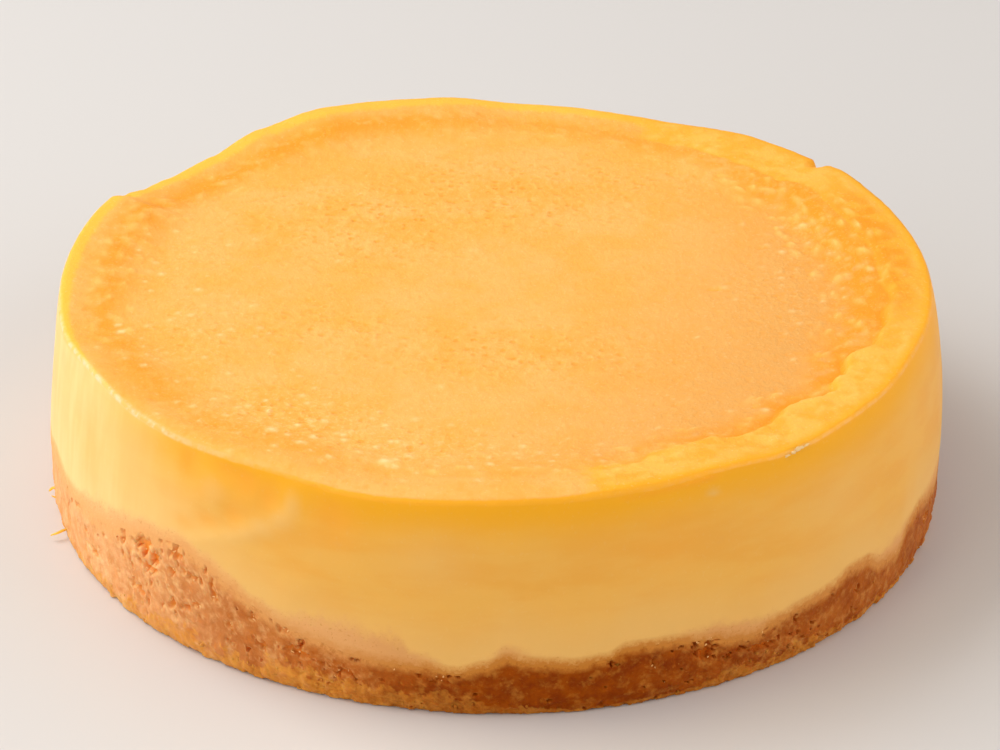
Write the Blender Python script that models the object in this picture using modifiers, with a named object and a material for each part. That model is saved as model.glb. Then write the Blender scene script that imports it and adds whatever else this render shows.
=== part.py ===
"""A round baked cheesecake: a cheese filling on a pressed biscuit base, both solid.

Each layer starts as a plain turned disc. Its points are then moved by functions of their angle
round the cake and their distance from its wall, which give the raised rim, the sunken top, the
outline that is a little out of round, and the uneven line where the filling meets the crumbs.

Metres, +Z up. The origin is at the middle of the underside, and the front faces -Y.
"""

import math

import bpy

MM = 0.001

# The whole cake
RADIUS = 75 * MM  # at its widest, low on the wall
FOOT_INSET = 0.7 * MM  # how far the rounded foot is drawn in at the very bottom
FOOT_HEIGHT = 4 * MM
BELLY_HEIGHT = 12 * MM  # above this the wall leans in
CREASE_INSET = 2.9 * MM  # how far it has leaned in at the crease under the rim
CREASE_HEIGHT = 35.2 * MM
LEAN_POWER = 1.6  # above 1 the wall bends in, instead of leaning straight

# The rim and the sunken top
CREASE_DROP = 1.2 * MM  # from the top of the rim down to the crease
PEAK_INSET = 3 * MM  # from the wall in to the top of the rim
TOP_EDGE_HEIGHT = 34.7 * MM  # the top just inside the rim
TOP_SINK = 0.6 * MM  # how much lower the middle is

# Round the cake, anticlockwise from the right: angle in degrees, then the rim's height, the
# outline's distance outside a true circle, and the rim's width, in millimetres
RIM_STOPS = (
    (-180, 36.8, 0.4, 6.0),
    (-165, 35.5, 0.4, 5.5),
    (-152, 36.4, 0.2, 5.5),
    (-139, 35.9, 0.1, 5.5),
    (-118, 36.4, -0.2, 6.5),
    (-105, 35.7, 0.3, 7.0),
    (-85, 36.3, 0.0, 8.0),
    (-63, 36.8, -0.3, 10.5),
    (-52, 36.2, 0.1, 9.5),
    (-36, 36.7, -0.1, 9.0),
    (-20, 37.7, -0.2, 8.0),
    (2, 37.6, 0.0, 8.0),
    (14, 38.0, 0.3, 9.0),
    (33, 38.1, 1.2, 11.0),
    (36.5, 36.5, 0.1, 11.0),
    (40, 36.8, 0.6, 11.0),
    (49, 36.9, 0.7, 10.0),
    (66, 35.8, -0.1, 8.0),
    (86, 36.3, 0.2, 7.5),
    (99, 37.5, 0.8, 7.5),
    (117, 37.8, 1.5, 7.0),
    (127, 36.9, 0.9, 7.0),
    (137, 35.0, -1.1, 6.5),
    (149, 35.6, -0.3, 6.5),
    (158, 37.6, 0.7, 6.0),
)

# The biscuit base
BASE_HEIGHT = 10 * MM  # inside the cake
EDGE_BAND = 18 * MM  # how far in from the wall the crumb line is uneven
LAYER_GAP = 0.3 * MM  # clearance between the two solids

# Round the wall: angle in degrees, then the crumb line's height in millimetres
CRUMB_STOPS = (
    (-180, 9.5),
    (-155, 10.0),
    (-143, 13.0),
    (-130, 18.0),
    (-117, 12.5),
    (-100, 8.4),
    (-88, 11.0),
    (-81, 8.8),
    (-72, 10.8),
    (-58, 7.5),
    (-42, 11.2),
    (-31, 8.5),
    (-24, 10.8),
    (-10, 9.0),
    (12, 11.5),
    (34, 9.0),
    (47, 11.2),
    (70, 9.2),
    (95, 12.2),
    (119, 9.4),
    (134, 11.8),
    (158, 10.8),
)

# Rings of points
TURN_STEPS = 120
TOP_RINGS = (0, 30, 48, 60, 64, 66, 67.5, 69, 71, 72.5, 73.8, 74.7)  # radii in millimetres
SEAM_RINGS = (72, 68.5, 65, 61, 57, 0)  # between the layers
FOOT_RINGS = (45, 0)
FILLING_WALL = (1, 0.93, 0.8, 0.62, 0.42, 0.2, 0)  # shares of the layer's height
BASE_WALL = (1, 0.75, 0.5, 0.3, 0.14, 0)


def smooth(share):
    """Ease from 0 to 1, flat at both ends."""
    share = min(max(share, 0), 1)
    return share * share * (3 - 2 * share)


def between_stops(stops, angle):
    """The values of a closed ring of stops at an angle in radians, eased from stop to stop."""
    degrees = (math.degrees(angle) - stops[0][0]) % 360 + stops[0][0]
    closed = stops + ((stops[0][0] + 360,) + stops[0][1:],)
    for low, high in zip(closed, closed[1:]):
        if degrees <= high[0]:
            share = smooth((degrees - low[0]) / (high[0] - low[0]))
            return [(a + (b - a) * share) * MM for a, b in zip(low[1:], high[1:])]


def crust_height(radius, angle):
    """The top of the biscuit base: level inside, uneven where it shows at the wall."""
    (line,) = between_stops(CRUMB_STOPS, angle)
    at_wall = smooth((radius - RADIUS + EDGE_BAND) / EDGE_BAND)
    return BASE_HEIGHT + (line - BASE_HEIGHT) * at_wall


def base_top(radius, angle):
    """The top of the biscuit base, a little clear of the filling."""
    return crust_height(radius, angle) - LAYER_GAP


def flat_underside(radius, angle):
    """The flat underside of the cake."""
    return 0


def top_height(radius, angle):
    """The top of the filling: the rim's rounded outer edge, its inner slope, the sunken middle."""
    rim_height, _, rim_width = between_stops(RIM_STOPS, angle)
    inset = max(RADIUS - radius, 0)
    if inset < PEAK_INSET:
        return rim_height - CREASE_DROP * (1 - math.sqrt(1 - (1 - inset / PEAK_INSET) ** 2))
    if inset < rim_width:
        slope = smooth((inset - PEAK_INSET) / (rim_width - PEAK_INSET))
        return rim_height + (TOP_EDGE_HEIGHT - rim_height) * slope
    return TOP_EDGE_HEIGHT - TOP_SINK * (1 - (radius / (RADIUS - rim_width)) ** 2)


def wall_radius(height, angle):
    """The outline at a height: drawn in at the foot, widest low down, leaning in above."""
    _, out_of_round, _ = between_stops(RIM_STOPS, angle)
    rise = max(height - BELLY_HEIGHT, 0) / (CREASE_HEIGHT - BELLY_HEIGHT)
    foot = max(1 - height / FOOT_HEIGHT, 0)
    return RADIUS + out_of_round * smooth(rise) - CREASE_INSET * rise**LEAN_POWER - FOOT_INSET * foot**2


def turned(name, profile, collection):
    """A closed solid turned from a profile of radii and heights, which runs top to bottom."""
    outline = bpy.data.meshes.new(name + "_profile")
    edges = [(i, i + 1) for i in range(len(profile) - 1)]
    outline.from_pydata([(radius, 0, height) for radius, height in profile], edges, [])
    blank = bpy.data.objects.new(name + "_blank", outline)
    collection.objects.link(blank)
    screw = blank.modifiers.new("Screw", "SCREW")
    screw.steps = screw.render_steps = TURN_STEPS
    screw.use_merge_vertices = True
    screw.merge_threshold = 0.01 * MM
    mesh = bpy.data.meshes.new_from_object(blank.evaluated_get(bpy.context.evaluated_depsgraph_get()))
    bpy.data.objects.remove(blank)
    solid = bpy.data.objects.new(name, mesh)
    collection.objects.link(solid)
    return solid


def shape(solid, low, high, lower_skin, upper_skin):
    """Stretch a turned disc, level from low to high, so that it fills the space between two skins."""
    for vertex in solid.data.vertices:
        radius = math.hypot(vertex.co.x, vertex.co.y)
        angle = math.atan2(vertex.co.y, vertex.co.x)
        floor = lower_skin(radius, angle)
        share = (vertex.co.z - low) / (high - low)
        height = floor + (upper_skin(radius, angle) - floor) * share
        spread = wall_radius(height, angle) / RADIUS
        vertex.co = (vertex.co.x * spread, vertex.co.y * spread, height)


def finish(solid, color, roughness):
    """Smooth shading and a plain food material."""
    solid.data.shade_smooth()
    solid.data.set_sharp_from_angle(angle=math.radians(50))
    material = bpy.data.materials.new(solid.name)
    material.use_nodes = True
    shader = material.node_tree.nodes["Principled BSDF"]
    shader.inputs["Base Color"].default_value = (*color, 1)
    shader.inputs["Roughness"].default_value = roughness
    shader.inputs["Metallic"].default_value = 0
    solid.data.materials.append(material)


def disc_profile(low, high, top_radii, wall_shares, inner_radii):
    """From the middle of the top out to the wall, down it, and back in along the underside."""
    top = [(radius * MM, high) for radius in top_radii]
    wall = [(RADIUS, low + (high - low) * share) for share in wall_shares]
    return top + wall + [(radius * MM, low) for radius in inner_radii]


def add_filling(collection):
    """The baked cheese: from the crumb line up to the rim and the sunken top."""
    profile = disc_profile(BASE_HEIGHT, CREASE_HEIGHT, TOP_RINGS, FILLING_WALL, SEAM_RINGS)
    filling = turned("cheese_filling", profile, collection)
    shape(filling, BASE_HEIGHT, CREASE_HEIGHT, crust_height, top_height)
    finish(filling, (0.95, 0.53, 0.13), 0.5)


def add_base(collection):
    """The pressed biscuit crumbs under the filling, flat underneath."""
    profile = disc_profile(0, BASE_HEIGHT, SEAM_RINGS[::-1], BASE_WALL, FOOT_RINGS)
    base = turned("biscuit_base", profile, collection)
    shape(base, 0, BASE_HEIGHT, flat_underside, base_top)
    finish(base, (0.56, 0.25, 0.07), 0.8)


def main():
    for thing in list(bpy.data.objects):
        bpy.data.objects.remove(thing)
    cake = bpy.data.collections.new("baked_cheesecake")
    bpy.context.scene.collection.children.link(cake)
    add_filling(cake)
    add_base(cake)


main()
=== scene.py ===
import math
import random

import bmesh
import bpy
import numpy as np
from mathutils import Matrix, Vector, kdtree, noise


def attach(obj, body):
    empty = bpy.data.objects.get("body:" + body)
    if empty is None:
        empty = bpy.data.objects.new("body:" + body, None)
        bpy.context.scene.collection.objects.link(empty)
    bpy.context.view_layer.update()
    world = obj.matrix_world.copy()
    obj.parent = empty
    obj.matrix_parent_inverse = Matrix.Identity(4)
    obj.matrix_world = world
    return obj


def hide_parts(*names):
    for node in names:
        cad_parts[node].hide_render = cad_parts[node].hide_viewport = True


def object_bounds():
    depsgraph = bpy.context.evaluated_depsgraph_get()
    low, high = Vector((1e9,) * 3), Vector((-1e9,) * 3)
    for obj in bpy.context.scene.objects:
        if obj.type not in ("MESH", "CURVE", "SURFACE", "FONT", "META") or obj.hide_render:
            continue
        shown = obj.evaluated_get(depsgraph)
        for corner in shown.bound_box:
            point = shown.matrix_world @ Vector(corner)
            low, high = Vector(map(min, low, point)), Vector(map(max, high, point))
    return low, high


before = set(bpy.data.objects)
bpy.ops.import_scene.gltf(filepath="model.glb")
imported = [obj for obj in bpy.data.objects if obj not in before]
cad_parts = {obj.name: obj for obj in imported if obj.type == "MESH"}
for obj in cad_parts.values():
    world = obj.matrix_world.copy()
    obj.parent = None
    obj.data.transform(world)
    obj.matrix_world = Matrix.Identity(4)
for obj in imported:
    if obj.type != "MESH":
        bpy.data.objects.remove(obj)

cadLow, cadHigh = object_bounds()
mm = 0.001  # every length in the dictionaries below is in millimetres
boxLow, boxHigh = np.array(cadLow) / mm, np.array(cadHigh) / mm
scene = bpy.context.scene

# The whole cake. These rules follow the fixed frame's own, so the fine skins lie on its solids.
cake = {
    "radius": (boxHigh[0] - boxLow[0]) / 2,  # at its widest, low on the wall
    "footInset": 0.7,
    "footHeight": 4,
    "bellyHeight": 12,  # above this the wall leans in
    "creaseHeight": 35.2,
    "baseInside": 10,  # height of the crumbs inside, where nothing shows
    # angle, how far the wall has leaned in at the crease, and how late it bends
    "lean": [
        (-180, 3.1, 1.3), (-150, 3.1, 1.35), (-120, 2.9, 1.6), (-60, 2.9, 1.6), (-30, 2.7, 2.0),
        (0, 2.6, 2.2), (40, 2.7, 2.0), (90, 2.9, 1.6), (140, 3.0, 1.4),
    ],
}

# Angles are in degrees, anticlockwise from the right, and the front is at -90.
rim = {
    # angle, fall from the top of the rim to the crease, how far in from the wall that top is
    "creases": [
        (-180, 0.6, 1.6), (-150, 0.45, 1.2), (-128, 0.9, 2.2), (-75, 1.0, 2.5), (-58, 0.4, 1.0),
        (0, 0.35, 0.9), (30, 0.8, 2.2), (90, 1.2, 3), (150, 1.1, 2.8),
    ],
    "ragged": 0.13,  # how far the crease wanders up and down
    "lipFall": 0.5,  # from the rim's highest line to its inner edge
    "lipBulge": 0.12,  # how much the inner edge swells, as a share of its step
    "stepWidth": 1.5,  # of the torn inner edge
    "crevice": 0.12,  # how deep the line under that edge is cut
    "shoulder": 11,  # inside the rim the top still falls over this width
    "topEdge": 34.7,  # height of the top inside the shoulder
    "topSink": 0.6,  # how much lower the middle is
    "roundness": 3.2,  # of the outer edge: 2 is a quarter circle, more is squarer
    # a torn notch in the outer edge: angle, half width in degrees, how far in, depth down, depth in
    "notch": (37.3, 1.1, 3.2, 1.3, 1.2),
    # angle, height, distance outside a true circle, width, height of the torn inner edge
    "stops": [
        (-180, 36.8, 0.4, 6.0, 0.1),
        (-165, 35.5, 0.4, 5.5, 0.1),
        (-152, 36.4, 0.2, 5.5, 0.1),
        (-139, 35.9, 0.1, 5.5, 0.1),
        (-118, 36.4, -0.2, 6.5, 0.1),
        (-105, 35.7, 0.3, 7.0, 0.1),
        (-85, 36.3, 0.0, 8.0, 0.15),
        (-72, 36.6, -0.2, 9.0, 0.3),
        (-63, 36.8, -0.3, 10.5, 0.6),
        (-52, 36.2, 0.1, 9.5, 0.8),
        (-36, 36.7, -0.1, 9.0, 1.1),
        (-20, 37.7, -0.1, 8.0, 1.2),
        (2, 37.6, -0.1, 8.0, 0.7),
        (14, 38.0, 0.0, 9.0, 0.25),
        (24, 38.0, 0.4, 10.5, 0.15),
        (33, 37.9, 1.2, 11.0, 0.15),
        (36, 37.5, 1.0, 11.0, 0.15),
        (40, 37.2, 0.7, 11.0, 0.15),
        (49, 37.0, 0.7, 10.0, 0.2),
        (66, 35.8, -0.1, 8.0, 0.2),
        (86, 36.1, 0.2, 7.5, 0.2),
        (99, 37.4, 0.8, 7.5, 0.2),
        (117, 37.8, 1.5, 7.0, 0.2),
        (127, 36.7, 0.8, 7.0, 0.2),
        (137, 35.3, -0.9, 6.5, 0.15),
        (144, 34.9, -1.0, 6.5, 0.15),
        (150, 35.3, -0.6, 6.5, 0.15),
        (155, 36.3, 0.1, 6.0, 0.15),
        (158.5, 37.6, 0.8, 6.0, 0.15),
    ],
    # where the inner edge bulges in and draws back: angle, width of the rim there
    "lobes": [
        (-76, 7.0), (-71, 7.6), (-67, 9.8), (-63.5, 10.0), (-58.5, 10.5), (-54.5, 9.2),
        (-49, 9.2), (-43.5, 10.8), (-40.5, 9.9), (-38, 8.1), (-36, 7.4), (-33, 9.5),
        (-31, 8.6), (-26.5, 10.4), (-21.5, 7.4), (-17.5, 7.7), (-14.5, 7.1), (-10.5, 7.7),
        (-5.5, 6.8), (-1.5, 7.8), (10, 7.7), (14.5, 9.3), (17, 8.4), (25, 8.8), (30, 8.2),
        (40, 10.1), (48, 9.5),
    ],
}

# The line where cheese and crumbs meet: angle, height, and how far above it crumbs still mix with cheese
crumbLine = [
    (-180, 10.6, 2), (-170, 12.4, 2), (-163, 13.6, 2), (-158, 12.6, 2), (-154, 12.5, 2.5),
    (-149, 12.9, 4), (-144, 14, 5), (-140, 15.6, 4), (-135.5, 17.6, 3), (-130, 18.5, 2.5),
    (-126, 17.2, 2.5), (-122.5, 15.4, 2.5), (-119, 13.2, 2.2),
    (-115, 11.2, 3), (-111, 10.2, 6), (-107, 9, 7.5), (-102.5, 8.3, 7.5), (-98, 8.2, 3),
    (-94.5, 7.4, 1.5), (-91, 8.6, 2), (-88.5, 10.2, 3), (-85, 9.2, 2), (-80.5, 8.6, 1.5),
    (-77, 9.1, 1.2), (-74.5, 10.6, 1.5), (-69, 10.4, 1.5), (-65.5, 9.4, 3), (-63.5, 9, 4), (-61, 8, 4),
    (-58, 7.4, 4), (-54.5, 8.8, 2), (-50, 9.5, 1.5), (-45.5, 9.9, 1.5), (-42.5, 11.2, 1.5),
    (-39, 10.8, 1.5), (-35.5, 8, 3), (-31, 7, 5), (-28, 10.2, 2), (-25, 11.2, 1.5), (-19, 9.5, 3),
    (-14.5, 7.9, 6), (-8, 9.4, 3), (0, 9.8, 1.5), (6, 11.6, 1.5), (12, 11.4, 2), (19, 9.2, 4),
    (27, 10.1, 2), (34, 8.4, 3), (40, 10.7, 1.5), (47, 11.4, 1.5), (54, 9.1, 3), (62, 9.9, 1.5),
    (70, 8.6, 4), (79, 11.2, 1.5), (86, 10.1, 2), (95, 12.4, 1.5), (103, 10.2, 4), (111, 10.8, 1.5),
    (119, 8.8, 4), (126, 10.6, 2), (134, 12, 2), (142, 9.8, 5), (150, 11.2, 2), (158, 10.6, 2),
    (168, 9, 4),
]

# How buttery and dark the crumbs are: angle, share
soakStops = [
    (-180, 0), (-150, 0.02), (-138, 0.13), (-128, 0.25), (-118, 0.38), (-110, 0.48), (-100, 0.86),
    (-90, 0.98), (-78, 1), (-66, 0.9), (-52, 0.78), (-38, 0.74), (-25, 0.74), (-8, 0.72),
    (15, 0.45), (45, 0.25), (80, 0.6), (115, 0.7), (150, 0.2),
]


def smooth(share):
    share = np.clip(share, 0, 1)
    return share * share * (3 - 2 * share)


def blend(first, second, share):
    return first + (second - first) * share


def around(stops, column, angles):
    # a value that eases from stop to stop round the cake
    first = stops[0][0]
    closed = [*stops, (first + 360, *stops[0][1:])]
    places = np.array([stop[0] for stop in closed], float)
    values = np.array([stop[column] for stop in closed], float)
    turned = (angles - first) % 360 + first
    index = np.clip(np.searchsorted(places, turned, side="right") - 1, 0, len(stops) - 1)
    share = smooth((turned - places[index]) / (places[index + 1] - places[index]))
    return blend(values[index], values[index + 1], share)


def apart(angles, place):
    # degrees from a place, -180 to 180
    return (angles - place + 180) % 360 - 180


def within(angles, start, end, fade):
    # 1 between two angles, easing to 0 outside them over `fade` degrees
    middle, half = (start + end) / 2, (end - start) / 2
    return 1 - smooth((np.abs(apart(angles, middle)) - half) / fade)


def grain(points, size, seed, octaves=1):
    # soft random values from about -1 to 1, with features `size` across
    shift = Vector((seed * 31.7, seed * 12.9, seed * 7.3))
    return np.array([noise.fractal(Vector(p) / size + shift, 1.0, 2.0, octaves) for p in points])


def cells(points, size, seed):
    # crumb-like cells: distance from the nearest border (0 at it), and a random value for each cell
    shift = Vector((seed * 17.1, seed * 5.3, seed * 11.9))
    border, value = np.empty(len(points)), np.empty(len(points))
    for i, p in enumerate(points):
        distances, middles = noise.voronoi(Vector(p) / size + shift)
        border[i] = distances[1] - distances[0]
        value[i] = noise.cell(middles[0] * 7.7)
    return border, value


def polar(radius, angle, height):
    turn = np.radians(angle)
    return np.stack([radius * np.cos(turn), radius * np.sin(turn), height], axis=-1)


def rimWidth(angle):
    plain = around(rim["stops"], 3, angle)
    torn = around(rim["lobes"], 1, angle)
    ragged = 0.7 * grain(polar(cake["radius"], angle, 0 * angle), 5, 3, 2)
    return blend(plain + ragged, torn, within(angle, -72, 42, 6))


def outline(height, angle):
    # the cake's radius at a height
    rise = np.maximum(height - cake["bellyHeight"], 0) / (cake["creaseHeight"] - cake["bellyHeight"])
    foot = np.maximum(1 - height / cake["footHeight"], 0)
    radius = cake["radius"] + around(rim["stops"], 2, angle) * smooth(rise)
    radius -= around(cake["lean"], 1, angle) * rise ** around(cake["lean"], 2, angle)
    radius -= rim["notch"][4] * notched(angle) * smooth(rise * 3 - 2)
    return radius - cake["footInset"] * foot**2


def notched(angle):
    # 1 in the middle of the torn notch
    return np.exp(-((np.abs(apart(angle, rim["notch"][0])) / rim["notch"][1]) ** 3))


def topHeight(radius, angle, width):
    # rounded outer edge, rim, torn inner edge with its crevice, shoulder, then the sunken top
    rimTop, step = around(rim["stops"], 1, angle), around(rim["stops"], 4, angle)
    inset = np.maximum(cake["radius"] - radius, 0)
    drop, peak = around(rim["creases"], 1, angle), around(rim["creases"], 2, angle)
    round, out = rim["roundness"], 1 - np.minimum(inset / peak, 1)
    height = rimTop - drop * (1 - (1 - out**round) ** (1 / round))
    height -= rim["lipFall"] * smooth((inset - peak) / (width - peak))
    past = (inset - width) / rim["stepWidth"]
    height += step * rim["lipBulge"] * np.exp(-(((past + 0.9) / 0.8) ** 2))
    height -= step * (smooth(past + 0.5) + rim["crevice"] * np.exp(-(((past - 0.5) / 0.45) ** 2)))
    height -= rim["notch"][3] * notched(angle) * (1 - smooth(inset / rim["notch"][2]))
    top = rim["topEdge"] - rim["topSink"] * (1 - np.minimum(radius / (cake["radius"] - width), 1) ** 2)
    return blend(height, top, smooth((inset - width) / rim["shoulder"]))


def makePiece(name, points, faces):
    # nothing stands outside the frame's box
    points = np.clip(np.asarray(points), boxLow, boxHigh)
    mesh = bpy.data.meshes.new(name)
    mesh.from_pydata((points * mm).tolist(), [], faces)
    mesh.validate()
    mesh.shade_smooth()
    mesh.set_sharp_from_angle(angle=math.radians(65))
    piece = bpy.data.objects.new(name, mesh)
    scene.collection.objects.link(piece)
    return piece


def writeMask(piece, name, values):
    attribute = piece.data.attributes.new(name, "FLOAT", "POINT")
    attribute.data.foreach_set("value", np.clip(values, 0, 1).astype(np.float32))


# The filling's mesh: a square grid bent into a disc for the middle, then rings over the rim and down the wall
filling = {
    "grid": 206,  # squares across the middle; the rings have four times as many points
    "gridRadius": 60,
    "rimRings": 21,
    "wallRings": 30,
    "tuck": 0.4,  # how far the bottom edge goes straight in
}


def discGrid(count, radius):
    # points of the bent grid, its faces, and its border from -45 degrees anticlockwise
    bend = [math.sqrt(2) * math.sin(math.radians(90 * i / count - 45)) for i in range(count + 1)]
    points = [(u * math.sqrt(1 - v * v / 2), v * math.sqrt(1 - u * u / 2)) for u in bend for v in bend]

    def at(i, j):
        return i * (count + 1) + j

    faces = [
        (at(i, j), at(i + 1, j), at(i + 1, j + 1), at(i, j + 1))
        for i in range(count) for j in range(count)
    ]
    border = [at(count, j) for j in range(count)] + [at(i, count) for i in range(count, 0, -1)]
    border += [at(0, j) for j in range(count, 0, -1)] + [at(i, 0) for i in range(count)]
    return np.array(points) * radius, faces, border


def ringFaces(first, second):
    # quads between two closed rings of point numbers
    count = len(first)
    return [
        (first[k], second[k], second[(k + 1) % count], first[(k + 1) % count]) for k in range(count)
    ]


def fillingRings():
    # the radius of each ring over the rim, then the share of the way down of each ring of the wall
    outer = cake["radius"]
    over = list(np.linspace(filling["gridRadius"], outer - 2.6, filling["rimRings"] + 1)[1:])
    over += [outer - inset for inset in (2.1, 1.65, 1.25, 0.9, 0.6, 0.36, 0.16, 0)]
    down = [0.008, 0.02, 0.036, 0.056, 0.08]
    down += list(np.linspace(0.08, 1, filling["wallRings"] + 1)[1:])
    return over, down


# Small marks pressed into the top
topMarks = {
    "pits": 1500,
    "pitRadius": (0.6, 1.1),
    "pitDepth": (0.05, 0.16),
    # middle x, y, half width, half depth, how crowded
    "pitZones": [
        (-22, 24, 23, 18, 1.0), (0, 36, 25, 16, 1.0), (24, 42, 18, 10, 0.7), (-28, -15, 20, 9, 0.7),
        (2, -24, 27, 11, 0.9), (0, 0, 66, 66, 0.15),
    ],
    "bigPits": [
        (-28.5, 0.5, 0.8, 0.4), (-30, -7, 0.8, 0.35), (-22, -14.5, 0.8, 0.35), (-16, -19, 0.7, 0.3),
    ],
    "slot": (37.2, -0.6, 1.0, 0.5, 0.6),  # x, y, half length, half width, depth
    "ringBubble": (-36, -20.9, 1.25, 0.18),  # x, y, radius, height
}


def crowding(x, y):
    # how thick the pits are at a place on the top
    zones = [
        much * np.exp(-(((x - cx) / wide) ** 2) - ((y - cy) / deep) ** 2)
        for cx, cy, wide, deep, much in topMarks["pitZones"][:-1]
    ]
    return np.maximum(np.max(zones, axis=0), topMarks["pitZones"][-1][4])


def pressMarks(flat, height):
    # flat holds x and y of each top point; returns the heights with the marks pressed in, and a mask of them
    draw = random.Random(5)
    places = list(topMarks["bigPits"])
    while len(places) < topMarks["pits"]:
        x, y = draw.uniform(-66, 66), draw.uniform(-66, 66)
        if draw.random() < crowding(x, y) and math.hypot(x, y) < 63:
            size, depth = draw.uniform(*topMarks["pitRadius"]), draw.uniform(*topMarks["pitDepth"])
            places.append((x, y, size, depth))
    tree = kdtree.KDTree(len(flat))
    for i, (x, y) in enumerate(flat):
        tree.insert((x, y, 0), i)
    tree.balance()
    pressed = np.zeros(len(flat))
    for x, y, radius, depth in places:
        for _, i, away in tree.find_range((x, y, 0), radius):
            pressed[i] = max(pressed[i], depth * (1 - (away / radius) ** 2) ** 2)
    x, y, halfLength, halfWidth, depth = topMarks["slot"]
    slot = ((flat[:, 0] - x) / halfLength) ** 2 + ((flat[:, 1] - y) / halfWidth) ** 2
    pressed = np.maximum(pressed, depth * np.exp(-(slot**2)))
    x, y, radius, tall = topMarks["ringBubble"]
    away = np.hypot(flat[:, 0] - x, flat[:, 1] - y)
    ring = tall * np.exp(-(((away - radius) / 0.35) ** 2)) - 0.1 * np.exp(-((away / radius) ** 4))
    return height - pressed + ring, pressed


# Small pale bubbles in the skin
skinBubbles = {
    "halfWidth": (0.38, 0.62),
    "height": 0.25,  # as a share of the half width
    "paleness": (0.1, 0.7),
    # middle x, y, spread in x, spread in y, how many
    "patches": [
        (-52, -22, 7, 9, 40), (-36, -47, 11, 7, 64), (-14, -56, 11, 5, 46), (10, -60, 9, 4, 22),
        (50, -6, 8, 12, 26), (54, 20, 6, 10, 20), (-56, 8, 6, 9, 22), (30, -48, 9, 6, 14),
        (0, 0, 40, 40, 10),
    ],
    # the palest ones: x, y, half width, paleness
    "palest": [
        (-63.4, -16.9, 0.5, 1), (-62.7, -19.4, 0.65, 1), (-57.7, -32.3, 0.5, 0.8),
        (-35.4, -52.4, 0.8, 1), (-17.1, -61.3, 0.9, 1), (-15.5, -63, 0.6, 0.7), (-0.8, -62.7, 0.5, 0.9),
        (-32.8, -54.2, 0.5, 0.8), (-31.5, -49.9, 0.5, 1), (-30.9, -57, 0.5, 0.9), (-28.8, -54.2, 0.5, 1),
        (-24.1, -52.5, 0.5, 0.9), (-18.7, -56.4, 0.5, 0.8), (-16.3, -54.2, 0.5, 0.8),
        (-36.4, -44.9, 0.5, 0.8), (-48.5, -45.1, 0.5, 0.7),
    ],
}


def raiseBubbles(x, y):
    # how high the bubbles stand at each point of the top, and how pale they are there
    draw = random.Random(41)
    places = list(skinBubbles["palest"])
    for cx, cy, wide, deep, count in skinBubbles["patches"]:
        for _ in range(count):
            size = blend(*skinBubbles["halfWidth"], draw.random() ** 2)
            pale = blend(*skinBubbles["paleness"], draw.random() ** 1.5)
            places.append((draw.gauss(cx, wide), draw.gauss(cy, deep), size, pale))
    raised, paleness = np.zeros(len(x)), np.zeros(len(x))
    for cx, cy, size, pale in places:
        swell = np.exp(-((x - cx) ** 2 + (y - cy) ** 2) / size**2)
        raised = np.maximum(raised, skinBubbles["height"] * size * swell)
        paleness = np.maximum(paleness, pale * swell)
    return raised, paleness


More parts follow.
